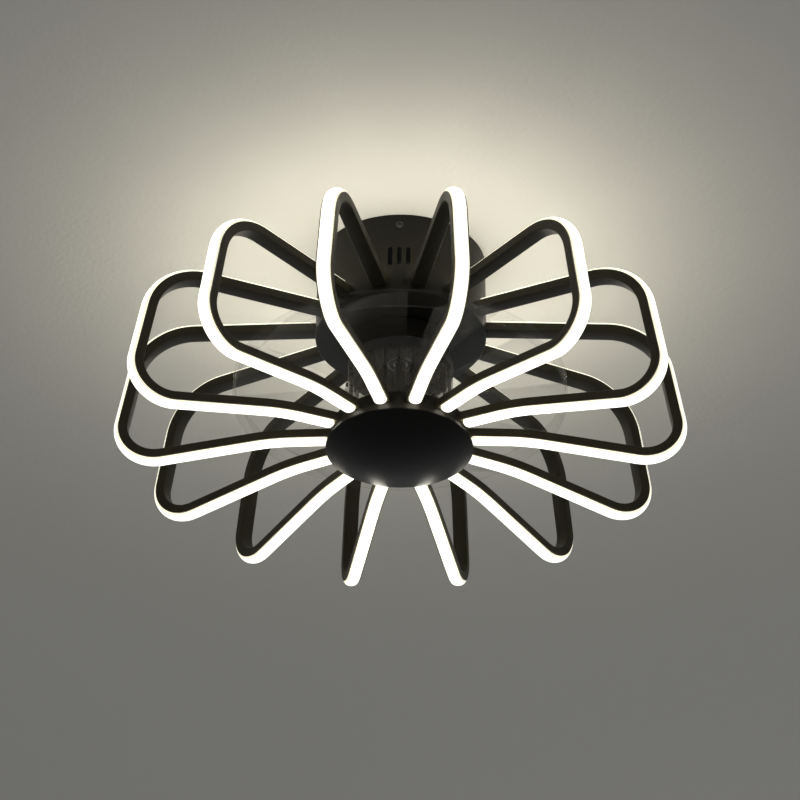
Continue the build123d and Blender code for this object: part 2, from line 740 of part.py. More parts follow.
with BuildPart() as bottom_cap:
    with BuildSketch(Plane.XZ):
        with BuildLine():
            Line((0, cap_rim_z), (cap_r, cap_rim_z))
            Line((cap_r, cap_rim_z), dome_point(dome_r, cap_r))
            ThreePointArc(dome_point(dome_r, cap_r), dome_point(dome_r, cap_r / 2), dome_point(dome_r, 0))
            Line(dome_point(dome_r, 0), (0, cap_rim_z))
        make_face()
    revolve(axis=Axis.Z)
    with BuildSketch(Plane.XZ):
        with BuildLine():
            inner = dome_r - cap_wall
            Line((0, cap_rim_z), (cavity_r, cap_rim_z))
            Line((cavity_r, cap_rim_z), dome_point(inner, cavity_r))
            ThreePointArc(dome_point(inner, cavity_r), dome_point(inner, cavity_r / 2), dome_point(inner, 0))
            Line(dome_point(inner, 0), (0, cap_rim_z))
        make_face()
    revolve(axis=Axis.Z, mode=Mode.SUBTRACT)
    with BuildSketch(Plane.XY.offset(cap_rim_z)):
        Circle(collar_r)
        Circle(cavity_r, mode=Mode.SUBTRACT)
    extrude(amount=cap_collar_height)
    with BuildSketch(Plane.XY.offset(cap_rim_z - cap_depth + cap_wall / 2)):
        Circle(shaft_end_r + cap_boss_wall)
    extrude(amount=boss_top_z - cap_rim_z + cap_depth - cap_wall / 2)
    with BuildSketch(Plane.XY.offset(boss_top_z)):
        Circle(shaft_end_r + hole_gap / 2)
    extrude(amount=-(thread_length + thread_well), mode=Mode.SUBTRACT)
bottom_cap.part.label = "bottom_cap"
export_step(bottom_cap.part, "parts/bottom_cap.step")

# Petal channels: a folded aluminium channel, open outwards, its ends cut to the hub and the canopy.
# A tongue at each end goes through a slot in the wall, beside the wires, and its lug is folded over.
end_overrun = 4.0
tongue_seats = (
    (canopy_r, canopy_wall, top_tongue_z),
    (hub_r, hub_wall, low_tongue_z),
)
for i in range(petal_count):
    label = f"petal_channel_{i + 1:02d}"
    with BuildPart() as channel:
        with BuildSketch(petal_plane(i)):
            with BuildLine():
                edge = petal_edge(hub_r - end_overrun, canopy_r - end_overrun)
                offset(edge, amount=channel_depth, side=Side.LEFT)
            make_face()
        extrude(amount=channel_width / 2, both=True)
        with BuildSketch(petal_plane(i)):
            with BuildLine():
                edge = petal_edge(hub_r + end_wall, canopy_r + end_wall)
                offset(edge, amount=channel_depth - channel_wall, side=Side.LEFT)
            make_face()
        extrude(amount=channel_width / 2 - channel_wall, both=True, mode=Mode.SUBTRACT)
        with BuildSketch(Plane.XY):
            Circle(canopy_r + seat_gap)
        extrude(amount=-canopy_height - channel_depth, mode=Mode.SUBTRACT)
        with BuildSketch(Plane.XY.offset(hub_top_z)):
            Circle(hub_r + seat_gap)
        extrude(amount=-hub_height, mode=Mode.SUBTRACT)
        with BuildSketch(petal_plane(i)):
            for wall_r, wall, z in tongue_seats:
                lug_r = wall_r - wall - tongue_gap - tongue_thickness
                with Locations(((lug_r + wall_r + end_wall) / 2, z)):
                    Rectangle(wall_r + end_wall - lug_r, tongue_thickness)
                with Locations((lug_r + tongue_thickness / 2, z - tongue_thickness / 2 + lug_height / 2)):
                    Rectangle(tongue_thickness, lug_height)
        extrude(amount=tongue_width / 2, both=True)
    channel.part.label = label
    export_step(channel.part, f"parts/{label}.step")

# Diffusers: an opal strip that sits between the channel's walls and stands proud of them, domed by
# two long chamfers, with the corners of both ends rounded
half_width = channel_width / 2 - channel_wall - diffuser_gap
diffuser_outline = [
    (-half_width, -diffuser_seat),
    (half_width, -diffuser_seat),
    (half_width, diffuser_rise - diffuser_chamfer),
    (half_width - diffuser_chamfer, diffuser_rise),
    (diffuser_chamfer - half_width, diffuser_rise),
    (-half_width, diffuser_rise - diffuser_chamfer),
]
for i in range(petal_count):
    label = f"petal_diffuser_{i + 1:02d}"
    with BuildPart() as diffuser:
        with BuildLine(petal_plane(i)) as run:
            petal_edge(hub_r + diffuser_inset, canopy_r + diffuser_inset)
        with BuildSketch(Plane(origin=run.line @ 0, x_dir=petal_plane(i).z_dir, z_dir=run.line % 0)):
            with BuildLine():
                Polyline(*diffuser_outline, close=True)
            make_face()
        sweep()
        for end, inwards in ((run.line @ 0, run.line % 0), (run.line @ 1, -(run.line % 1))):
            face = Plane(origin=end, x_dir=inwards, z_dir=inwards.cross(petal_plane(i).z_dir))
            with BuildSketch(face):
                with Locations((diffuser_end_radius / 2, 0)):
                    Rectangle(diffuser_end_radius, 2 * half_width)
                with Locations((2 * diffuser_end_radius, 0)):
                    RectangleRounded(
                        4 * diffuser_end_radius,
                        2 * half_width,
                        diffuser_end_radius,
                        mode=Mode.SUBTRACT,
                    )
            extrude(amount=2 * diffuser_rise, both=True, mode=Mode.SUBTRACT)
    diffuser.part.label = label
    export_step(diffuser.part, f"parts/{label}.step")

# Light strips: thin boards on the floor of each channel, along its straight runs
strip_offset = channel_depth - channel_wall - strip_thickness / 2
with BuildPart() as led_strips:
    for i in range(petal_count):
        for start, heading, first, last in straight_runs():
            if last - first < 3 * strip_margin:
                continue
            along = (first + last) / 2
            h = radians(heading)
            centre = (
                start[0] + along * cos(h) - strip_offset * sin(h),
                start[1] + along * sin(h) + strip_offset * cos(h),
            )
            with BuildSketch(petal_plane(i)):
                with Locations(centre):
                    Rectangle(last - first, strip_thickness, rotation=heading)
            extrude(amount=strip_width / 2, both=True)
led_strips.part.label = "led_strips"
export_step(led_strips.part, "parts/led_strips.step")
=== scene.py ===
# %% [markdown]
# A ceiling fan light, seen from below
#
# The lamp hangs from the ceiling, which is the plane z = 0. A black canopy holds the electronics, a
# short motor turns a clear fan below it, and fourteen closed petals of black channel carry opal
# light strips. The packed model is loaded first: it says where every piece is, and it is never
# moved. What follows gives each piece its surface, and remakes the pieces whose plain CAD form
# is less than the real one. Lengths are in metres, and +Z is up.

import json
from math import cos, pi, radians, sin, sqrt, tan

import bmesh
import bpy
from mathutils import Matrix, Vector

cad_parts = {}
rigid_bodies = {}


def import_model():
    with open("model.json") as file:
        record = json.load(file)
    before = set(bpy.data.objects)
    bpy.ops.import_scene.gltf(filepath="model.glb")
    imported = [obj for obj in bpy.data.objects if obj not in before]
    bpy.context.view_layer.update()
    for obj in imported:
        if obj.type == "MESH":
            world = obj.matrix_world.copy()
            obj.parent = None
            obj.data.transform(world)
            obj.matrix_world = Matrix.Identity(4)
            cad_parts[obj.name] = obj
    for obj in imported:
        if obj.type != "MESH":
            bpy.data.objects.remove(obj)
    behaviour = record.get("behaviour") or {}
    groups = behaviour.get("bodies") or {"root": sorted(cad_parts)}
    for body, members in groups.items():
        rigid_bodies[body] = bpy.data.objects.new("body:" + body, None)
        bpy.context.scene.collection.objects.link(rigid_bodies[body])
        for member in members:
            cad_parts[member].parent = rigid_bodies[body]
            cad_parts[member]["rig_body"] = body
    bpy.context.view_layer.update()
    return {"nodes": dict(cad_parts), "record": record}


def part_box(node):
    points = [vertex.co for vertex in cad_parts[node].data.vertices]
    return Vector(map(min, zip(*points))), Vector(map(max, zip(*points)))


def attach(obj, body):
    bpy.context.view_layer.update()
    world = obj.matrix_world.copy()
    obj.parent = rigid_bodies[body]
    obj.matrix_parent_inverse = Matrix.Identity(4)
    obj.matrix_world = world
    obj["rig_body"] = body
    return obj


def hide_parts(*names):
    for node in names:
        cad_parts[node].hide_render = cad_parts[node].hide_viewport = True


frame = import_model()
scene = bpy.context.scene
mm = 0.001

# %% [markdown]
# The camera stands about two metres in front of the lamp and a metre and a half below the ceiling,
# and looks up. Its place was worked out from the photograph: the rims of the canopy, the fan and
# the hub, and the edges of six petals, all have to fall where the picture shows them. A long lens
# with a narrow view keeps the far petals nearly as large as the near ones.

# %% Camera
picture_width_px = 800
focal_length_px = 2370.2
camera_distance = 2086.4 * mm
camera_drop = 1555.8 * mm
camera_heading = radians(1.65)
camera_pitch = radians(33.48)
camera_roll = radians(0.674)

turn = Matrix.Rotation(camera_heading, 3, "Z")
forward = turn @ Vector((0.0, cos(camera_pitch), sin(camera_pitch)))
level_right = turn @ Vector((1.0, 0.0, 0.0))
level_up = level_right.cross(forward)
right = level_right * cos(camera_roll) + level_up * sin(camera_roll)
up = level_up * cos(camera_roll) - level_right * sin(camera_roll)
place = turn @ Vector((0.0, -camera_distance, -camera_drop))

camera_data = bpy.data.cameras.new("camera")
camera_data.sensor_width = 36.0
camera_data.lens = focal_length_px / picture_width_px * camera_data.sensor_width
camera_data.clip_end = 60.0
camera = bpy.data.objects.new("camera", camera_data)
camera.matrix_world = Matrix.Translation(place) @ Matrix((right, up, -forward)).transposed().to_4x4()
scene.collection.objects.link(camera)
scene.camera = camera
print("camera at", [round(v, 3) for v in place], "lens", round(camera_data.lens, 2), "mm")

# %% [markdown]
# Shader trees are easier to read as sums than as boxes and wires. This small class stands for one
# output socket: adding, subtracting or multiplying two of them puts the Math node in for us.
# Every other node comes from one method, which takes the node's type, its settings and its inputs.


# %% Sockets as numbers
class Wire:
    """One output socket of a node tree, with the sums that the materials use."""

    def __init__(self, tree, socket):
        self.tree = tree
        self.socket = socket

    def node(self, kind, settings=None, out=0, **inputs):
        """A new node of that kind: its settings are set first, then its inputs, by name or _number."""
        made = self.tree.nodes.new(kind)
        for name, value in (settings or {}).items():
            setattr(made, name, value)
        for name, value in inputs.items():
            key = int(name[1:]) if name.startswith("_") else name.replace("_", " ")
            connect(self.tree, made.inputs[key], value)
        return Wire(self.tree, made.outputs[out])

    def math(self, operation, *values):
        """A Math node on wires and numbers."""
        numbered = {f"_{i}": value for i, value in enumerate(values)}
        return self.node("ShaderNodeMath", {"operation": operation}, **numbered)

    def __add__(self, other):
        return self.math("ADD", self, other)

    __radd__ = __add__

    def __sub__(self, other):
        return self.math("SUBTRACT", self, other)

    def __rsub__(self, other):
        return self.math("SUBTRACT", other, self)

    def __mul__(self, other):
        return self.math("MULTIPLY", self, other)

    __rmul__ = __mul__


def connect(tree, socket, value):
    """Links a socket or sets its value."""
    if isinstance(value, Wire):
        tree.links.new(value.socket, socket)
    elif isinstance(value, tuple) and len(value) == 3 and socket.type == "RGBA":
        socket.default_value = (*value, 1.0)
    else:
        socket.default_value = value


def new_material(name, **constants):
    """A material with a Principled shader, its constants set on the shader's own sockets."""
    material = bpy.data.materials.new(name)
    material.use_nodes = True
    shader = material.node_tree.nodes["Principled BSDF"]
    for key, value in constants.items():
        connect(material.node_tree, shader.inputs[key.replace("_", " ")], value)
    place_here = material.node_tree.nodes.new("ShaderNodeTexCoord").outputs["Object"]
    return material, shader.inputs, Wire(material.node_tree, place_here)


def finish(sockets, **wires):
    """Links wires to the shader's sockets, by name."""
    for name, wire in wires.items():
        connect(wire.tree, sockets[name.replace("_", " ")], wire)


materials = {}
print("sockets ready")

# %% [markdown]
# A few nodes are used by almost every finish, so each gets a short word: soft noise, a bump over a
# height, a colour mixed from two others, and a place's parts and distance from the lamp's axis.


# %% Words for common nodes
def noise(here, per_metre, detail=2.0):
    """Soft noise, by how many of its grains lie along a metre."""
    return here.node("ShaderNodeTexNoise", Vector=here, Scale=per_metre, Detail=detail)


def bump(height, strength, depth):
    """A normal that follows a height."""
    return height.node("ShaderNodeBump", Strength=strength, Distance=depth, Height=height)


def mixed(share, first, second):
    """A colour between two others, by the share of the second."""
    return share.node("ShaderNodeMix", {"data_type": "RGBA"}, out=2, _0=share, _6=first, _7=second)


def scaled(colour, factor):
    """A darker or lighter colour, worked out here and not by a node."""
    return tuple(min(1.0, factor * c) for c in colour)


def parts_of(vector):
    """The x, y and z of a vector."""
    split = vector.node("ShaderNodeSeparateXYZ", Vector=vector)
    return [Wire(vector.tree, output) for output in split.socket.node.outputs]


def off_axis(place):
    """How far a place is from the lamp's axis."""
    x, y, _ = parts_of(place)
    return place.math("SQRT", x * x + y * y)


print("half of (0.2, 0.4, 0.6) is", scaled((0.2, 0.4, 0.6), 0.5))

# %% [markdown]
# All the black metal on the lamp has a matt powder coat. It is nearly black, with a trace of olive
# where the strips light it, and its mirror share is set low, because a matt coat scatters most of
# what it reflects. The bottom cap gets a blacker copy of the coat, which is painted shade for its
# dim underside, and the screws are shinier. Two noises of different size make it live: a fine one,
# which is the orange peel of the powder, and a broad one, which is the slightly uneven gloss that
# baking leaves.


# %% Black powder coat
def powder_coat(name, colour, roughness, mirror):
    """Satin black finish with fine orange peel and a broad, faint change of gloss."""
    material, sockets, here = new_material(name, Metallic=0.0, Specular_IOR_Level=mirror)
    broad = noise(here, per_metre=22.0, detail=3.0)
    peel = noise(here, per_metre=900.0)
    finish(
        sockets,
        Base_Color=mixed(broad, scaled(colour, 0.8), scaled(colour, 1.25)),
        Roughness=roughness + (broad - 0.5) * 0.16 + (peel - 0.5) * 0.08,
        Normal=bump(peel, strength=0.12, depth=0.2 * mm),
    )
    return material


for name, colour, roughness, mirror in (
    ("black_enamel", (0.01, 0.0093, 0.0066), 0.42, 0.12),
    # the cap's coat: a blacker copy of the black enamel, painted shade for its dim underside
    ("cap_enamel", (0.0028, 0.0027, 0.0025), 0.4, 0.035),
    ("black_aluminium", (0.025, 0.0225, 0.014), 0.4, 0.1),
    ("black_screw", (0.016, 0.0155, 0.014), 0.28, 0.4),
):
    materials[name] = powder_coat(name, colour, roughness, mirror)
print("powder coats:", len(materials))

# %% [markdown]
# The diffuser is milky silicone lit from behind. It glows white along its middle, and at its two
# long edges, which sit between the channel's walls, the light is weaker and warmer. The strip's mesh
# carries an attribute called across, from -1 to 1 over its width, and the glow follows it. The camera
# sees a glow that is just white, as a far brighter one would give the strips jagged edges. What they
# light, such as the ceiling and the walls of their neighbours, gets their full strength.

# %% Opal diffuser
seen_middle, seen_edge = (1.25, 1.24, 1.14), (0.8, 0.76, 0.52)
full_strength = (8.0, 7.6, 6.5)
edge_sharpness = 5.5


def glowing_opal():
    """Milky plastic that gives light, warmer towards its edges."""
    milk = {"Base_Color": (0.93, 0.92, 0.88), "Roughness": 0.42, "Emission_Strength": 1.0}
    material, sockets, here = new_material("opal", **milk)
    across = here.node("ShaderNodeAttribute", {"attribute_name": "across"}, out="Fac")
    edge = here.math("POWER", here.math("ABSOLUTE", across), edge_sharpness)
    seen = here.node("ShaderNodeLightPath", out="Is Camera Ray")
    finish(sockets, Emission_Color=mixed(seen, full_strength, mixed(edge, seen_middle, seen_edge)))
    return material


materials["opal"] = glowing_opal()
print("opal diffuser ready")

# %% [markdown]
# The fan is one moulding of clear acrylic, two millimetres thick, and in the photograph it all but
# vanishes: what lies behind it shows unbent, under a faint grey film. Walls this thin are made
# best as a film, by a low Alpha that rises where the wall is seen edge on. The cup in the middle
# looks smokier, and its two dozen inner ribs show as dark upright lines, which are painted shade:
# a near-black colour on the clear plastic. They are drawn by the angle round the axis, so they
# turn with the fan. On the blades the film grows with the distance from the axis, as they widen
# towards the ring, and their colour is painted paler outwards, as painted light of the strips,
# which they catch.

# %% Clear acrylic
rib_count = 24
rib_share, rib_core = 0.1, 0.75
rib_low, rib_high = -185.0 * mm, -147.0 * mm
cup_r = 59.0 * mm
blade_root_r, blade_tip_r = 60.0 * mm, 176.0 * mm
# the last of these is how opaque the painted shade on the ribs is
film_everywhere, film_on_blades, film_on_cup, painted_shade_on_ribs = 0.012, 0.07, 0.16, 0.7
film_edge_on, edge_on_growth = 0.08, 0.22


def painted_rib_shade(here, cup):
    """One on the cup's rib lines, where dark painted shade goes, and nought between them, with soft sides.
    """
    x, y, z = parts_of(here)
    turn_share = here.math("ARCTAN2", y, x) * (rib_count / (2.0 * pi))
    to_rib = here.math("ABSOLUTE", here.math("FRACT", turn_share + rib_count + 0.5) - 0.5)
    between = here.node(
        "ShaderNodeMapRange", {"interpolation_type": "SMOOTHSTEP"},
        Value=to_rib, From_Min=rib_share * rib_core, From_Max=rib_share,
    )
    level = here.math("LESS_THAN", z, rib_high) * here.math("GREATER_THAN", z, rib_low)
    return level * cup * (1.0 - between)


def clear_acrylic():
    """Thin clear moulding: a faint film, smokier on the cup between its ribs, with painted shade on the ribs
    and painted light on the outer blades.
    """
    material, sockets, here = new_material("clear_acrylic", Specular_IOR_Level=0.5)
    reach = off_axis(here)
    cup = here.math("LESS_THAN", reach, cup_r)
    rib = painted_rib_shade(here, cup)
    outwards = here.node("ShaderNodeMapRange", Value=reach, From_Min=blade_root_r, From_Max=blade_tip_r)
    # painted light: the blades' colour turns paler towards the ring, where the strips light them
    blades = mixed(outwards, (0.06, 0.058, 0.052), (0.44, 0.42, 0.37))
    film_tint_and_painted_light = mixed(cup, blades, (0.32, 0.29, 0.25))
    ripple = noise(here, per_metre=38.0)
    edge_on = here.node("ShaderNodeLayerWeight", out="Facing", Blend=0.25)
    flat = here.math("ABSOLUTE", parts_of(here.node("ShaderNodeNewGeometry", out="Normal"))[2])
    rim = edge_on * edge_on * (film_edge_on + (outwards + cup) * edge_on_growth)
    film = film_everywhere + rim + outwards * flat * film_on_blades + cup * film_on_cup
    finish(
        sockets,
        # the ribs' near-black colour is painted shade on the clear plastic
        Base_Color=mixed(rib, film_tint_and_painted_light, (0.01, 0.009, 0.008)),
        Roughness=0.08 + ripple * 0.12 + cup * 0.3,
        Alpha=film + rib * painted_shade_on_ribs,
    )
    return material


materials["clear_acrylic"] = clear_acrylic()
print("clear acrylic ready, a rib every", 360 / rib_count, "degrees")

# %% [markdown]
# Inside the canopy are zinc-plated pressings, moulded plastic cases and a motor. They show when the
# lamp is seen from above without its ceiling. Zinc has faint cloudy spangles. Plastic has a fine
# spark-eroded grain. Laminations and wound wire are drawn by waves along one axis. A bearing has
# bright rings, with a black rubber seal between them.


# %% Inner metals
def plated_steel(name, colour, roughness):
    """Zinc plate: bright, cloudy, a little uneven in gloss."""
    material, sockets, here = new_material(name, Metallic=1.0)
    cloud = here.node("ShaderNodeTexVoronoi", Vector=here, Scale=160.0)
    finish(
        sockets,
        Base_Color=mixed(cloud, colour, scaled(colour, 0.78)),
        Roughness=roughness + cloud * 0.18,
    )
    return material


seal_inner_r, seal_outer_r = 7.6 * mm, 12.6 * mm


def sealed_bearing():
    """Polished steel rings with a black rubber seal between them."""
    material, sockets, here = new_material("bearing_steel", Specular_IOR_Level=0.4)
    reach = off_axis(here)
    seal = here.math("GREATER_THAN", reach, seal_inner_r) * here.math("LESS_THAN", reach, seal_outer_r)
    finish(
        sockets,
        Base_Color=mixed(seal, (0.26, 0.26, 0.27), (0.012, 0.012, 0.012)),
        Metallic=1.0 - seal,
        Roughness=0.2 + seal * 0.4 + noise(here, per_metre=700.0) * 0.12,
    )
    return material


def layered(name, colour, metallic, roughness, pitch, depth):
    """A surface of fine level layers, such as laminations or wound wire."""
    material, sockets, here = new_material(name, Metallic=metallic)
    wave = {"bands_direction": "Z", "wave_profile": "SIN"}
    waves_per_metre = 2.0 * pi / (20.0 * pitch)
    lines = here.node("ShaderNodeTexWave", wave, Vector=here, Scale=waves_per_metre, Distortion=0.0)
    finish(
        sockets,
        Base_Color=mixed(lines, scaled(colour, 0.45), colour),
        Roughness=roughness + (1.0 - lines) * 0.2,
        Normal=bump(lines, strength=0.6, depth=depth),
    )
    return material


materials["zinc_steel"] = plated_steel("zinc_steel", (0.62, 0.63, 0.65), 0.3)
materials["bearing_steel"] = sealed_bearing()
materials["core_steel"] = layered("core_steel", (0.33, 0.33, 0.35), 0.9, 0.4, 0.5 * mm, 0.05 * mm)
materials["copper_wire"] = layered("copper_wire", (0.72, 0.33, 0.14), 1.0, 0.28, 0.7 * mm, 0.2 * mm)
print("finishes so far:", sorted(materials))


# %% Plastics and boards
def moulded_plastic(name, colour, roughness):
    """Plastic with the fine grain of a spark-eroded mould."""
    material, sockets, here = new_material(name, Specular_IOR_Level=0.4)
    grain = noise(here, per_metre=1400.0)
    broad = noise(here, per_metre=35.0, detail=3.0)
    finish(
        sockets,
        Base_Color=mixed(broad, scaled(colour, 0.88), scaled(colour, 1.1)),
        Roughness=roughness + (grain - 0.5) * 0.2,
        Normal=bump(grain, strength=0.2, depth=0.1 * mm),
    )
    return material


def wiring_green():
    """Green solder mask over faint copper tracks."""
    material, sockets, here = new_material("circuit_board", Specular_IOR_Level=0.5)
    tracks = here.node(
        "ShaderNodeTexBrick", {"offset": 0.5, "squash": 1.0}, out="Fac",
        Vector=here, Scale=90.0, Mortar_Size=0.06, Mortar_Smooth=0.1,
    )
    finish(
        sockets,
        Base_Color=mixed(tracks, (0.012, 0.11, 0.045), (0.03, 0.2, 0.08)),
        Roughness=0.38 - tracks * 0.1,
    )
    return material


for name, colour, roughness in (
    ("black_plastic", (0.014, 0.014, 0.0145), 0.5),
    ("white_plastic", (0.78, 0.77, 0.73), 0.45),
    ("magnet", (0.09, 0.09, 0.095), 0.55),
    ("led_board", (0.82, 0.82, 0.79), 0.35),
    ("led_chip", (0.9, 0.55, 0.08), 0.25),
):
    materials[name] = moulded_plastic(name, colour, roughness)
materials["circuit_board"] = wiring_green()
print("all finishes:", len(materials))

# %% [markdown]
# A petal is a closed loop of black U-shaped channel with the diffuser on its outer face. All
# fourteen are alike, so one is drawn and the rest are turned copies. The channel's open edge is a
# line through a few corners, which are rounded as the real channel was bent. Each corner carries
# its bending radius as an attribute, and a Geometry Nodes tree rounds them, sweeps a profile
# along the line, and turns the copies round the lamp's axis. The line is drawn flat on the ground
# first, because there the sweep's upright direction never runs along the line.

# %% The petal's line
petal_count = 14
canopy_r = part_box("canopy")[1].x
hub_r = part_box("lower_hub")[1].x
low_root_z = -226.0 * mm
bend_r, bend_z = 132.5 * mm, -227.5 * mm
low_corner_r, low_corner_z = 302.8 * mm, -260.5 * mm
top_corner_r, top_corner_z = 277.5 * mm, -86.5 * mm
top_root_z = -81.5 * mm
bend_radius, low_corner_radius, top_corner_radius = 250.0 * mm, 40.0 * mm, 66.0 * mm
low_slope = (bend_z - low_root_z) / (bend_r - hub_r)
top_slope = (top_corner_z - top_root_z) / (top_corner_r - canopy_r)


def petal_line(low_r, top_r):
    """Corners of the channel's open edge between two distances from the axis, and their radii."""
    corners = [
        (low_r, low_root_z + (low_r - hub_r) * low_slope),
        (bend_r, bend_z),
        (low_corner_r, low_corner_z),
        (top_corner_r, top_corner_z),
        (top_r, top_root_z + (top_r - canopy_r) * top_slope),
    ]
    return corners, [0.0, bend_radius, low_corner_radius, top_corner_radius, 0.0]


print("petal line of", len(petal_line(hub_r, canopy_r)[0]), "corners")

# %% [markdown]
# Two profiles follow that line. The channel is folded from sheet, with small round folds at its
# back. The diffuser sits between the channel's walls and stands proud of them with a round face.

# %% Profiles
channel_width = 16.0 * mm
channel_depth = 10.0 * mm
channel_wall = 1.2 * mm
channel_fold = 1.0 * mm
fold_steps = 3


def polyline(name, points, closed=False, **attributes):
    """A hidden mesh of edges through points, each with its own values of the named attributes."""
    count = len(points)
    edges = [(i, i + 1) for i in range(count - 1)] + ([(count - 1, 0)] if closed else [])
    mesh = bpy.data.meshes.new(name)
    mesh.from_pydata([(*p, 0.0) if len(p) == 2 else p for p in points], edges, [])
    for key, values in attributes.items():
        mesh.attributes.new(key, "FLOAT", "POINT").data.foreach_set("value", values)
    drawn = bpy.data.objects.new(name, mesh)
    scene.collection.objects.link(drawn)
    return drawn


def arc(centre, radius, start, end, steps):
    """Points of an arc from one angle to another, in degrees."""
    angles = [radians(start + (end - start) * i / steps) for i in range(steps + 1)]
    return [(centre[0] + radius * cos(a), centre[1] + radius * sin(a)) for a in angles]


def channel_profile():
    """The folded channel's section: x across the width, y towards the open side."""
    half, inner = channel_width / 2, channel_width / 2 - channel_wall
    fold = channel_fold
    return [
        (-half, 0.0),
        *arc((fold - half, fold - channel_depth), fold, 180, 270, fold_steps),
        *arc((half - fold, fold - channel_depth), fold, 270, 360, fold_steps),
        (half, 0.0),
        (inner, 0.0),
        (inner, channel_wall - channel_depth),
        (-inner, channel_wall - channel_depth),
        (-inner, 0.0),
    ]


diffuser_rise = 5.0 * mm
diffuser_seat = 1.5 * mm
diffuser_shoulder = 0.8 * mm
diffuser_gap = 0.1 * mm
diffuser_half = channel_width / 2 - channel_wall - diffuser_gap
face_steps = 16


def diffuser_profile():
    """The opal strip's section: a flat back between the channel's walls, and a round face."""
    half = diffuser_half
    rise = diffuser_rise - diffuser_shoulder
    angles = [pi * i / face_steps for i in range(face_steps + 1)]
    face = [(half * cos(a), diffuser_shoulder + rise * sin(a)) for a in angles]
    return [(half, -diffuser_seat), *face, (-half, -diffuser_seat)]


print("channel profile of", len(channel_profile()), "points, diffuser profile of", len(diffuser_profile()))

# %% [markdown]
# Geometry Nodes repeat what is alike on the lamp. This class builds a tree from code: it adds nodes,
# links them, and gives the tree named inputs, so that one tree serves pieces of several sizes.


# %% Trees from code
class Tree:
    """A Geometry Nodes tree with short ways to add nodes, links and named inputs."""

    def __init__(self, name):
        self.tree = bpy.data.node_groups.new(name, "GeometryNodeTree")
        self.tree.interface.new_socket("Geometry", in_out="INPUT", socket_type="NodeSocketGeometry")
        self.tree.interface.new_socket("Geometry", in_out="OUTPUT", socket_type="NodeSocketGeometry")
        self.start = self.tree.nodes.new("NodeGroupInput")
        self.end = self.tree.nodes.new("NodeGroupOutput")

    def named(self, name, kind, default=None):
        """A named input of the tree; returns its socket."""
        item = self.tree.interface.new_socket(name, in_out="INPUT", socket_type="NodeSocket" + kind)
        if default is not None:
            item.default_value = default
        return self.start.outputs[name]

    def add(self, kind, settings=None, out=0, **inputs):
        """A node of that kind; an input is a socket or a value, by name or _number."""
        made = self.tree.nodes.new(kind)
        for name, value in (settings or {}).items():
            setattr(made, name, value)
        for name, value in inputs.items():
            key = int(name[1:]) if name.startswith("_") else name.replace("_", " ")
            if isinstance(value, bpy.types.NodeSocket):
                self.tree.links.new(value, made.inputs[key])
            else:
                made.inputs[key].default_value = value
        return made.outputs[out]

    def math(self, operation, a, b):
        """A Math node on two sockets or numbers."""
        return self.add("ShaderNodeMath", {"operation": operation}, _0=a, _1=b)

    def many(self, kind, settings, slot, *parts):
        """A node that takes several geometries at one input, such as a join or a boolean."""
        made = self.tree.nodes.new(kind)
        for name, value in settings.items():
            setattr(made, name, value)
        for part in parts:
            self.tree.links.new(part, made.inputs[slot])
        return made

    def join(self, *parts):
        """One geometry of several."""
        return self.many("GeometryNodeJoinGeometry", {}, 0, *parts).outputs[0]

    def finish(self, geometry):
        """Links the tree's output."""
        self.tree.links.new(geometry, self.end.inputs[0])
        return self.tree


print("a tree has", len([word for word in vars(Tree) if not word.startswith("_")]), "words to build with")

# %% [markdown]
# The first tree takes a piece that was drawn flat, stands it upright and turns copies of it round
# the lamp's axis. The first and last copies stand half a step either side of the front, as the
# photograph shows. All are realised at once, so that what leaves the tree is plain mesh.


# %% Round the axis
def ring_tree():
    """Stands a flat drawn piece upright and turns copies of it round the lamp's axis."""
    t = Tree("round_the_axis")
    count = t.named("Count", "Int", petal_count)
    drawn = t.start.outputs["Geometry"]
    standing = t.add("GeometryNodeTransform", Geometry=drawn, Rotation=(pi / 2, 0.0, 0.0))
    points = t.add("GeometryNodePoints", Count=count)
    share = t.math("DIVIDE", t.add("GeometryNodeInputIndex"), count)
    half_step = t.math("DIVIDE", pi, count)
    from_front = t.math("SUBTRACT", t.math("ADD", t.math("MULTIPLY", share, 2 * pi), half_step), pi / 2)
    turned = t.add("ShaderNodeCombineXYZ", Z=from_front)
    copies = t.add("GeometryNodeInstanceOnPoints", Points=points, Instance=standing, Rotation=turned)
    return t.finish(t.add("GeometryNodeRealizeInstances", Geometry=copies))


round_the_axis = ring_tree()
print("ring tree has", len(round_the_axis.nodes), "nodes")

# %% [markdown]
# The second tree makes a ring of petals, and uses the first as a group. Its named inputs are the
# profile that is swept, a mesh for the petal's two ends, the number of petals, how finely each bend
# is divided, and the material. Its last node sets the material.

# %% The petal tree
bend_steps = 20


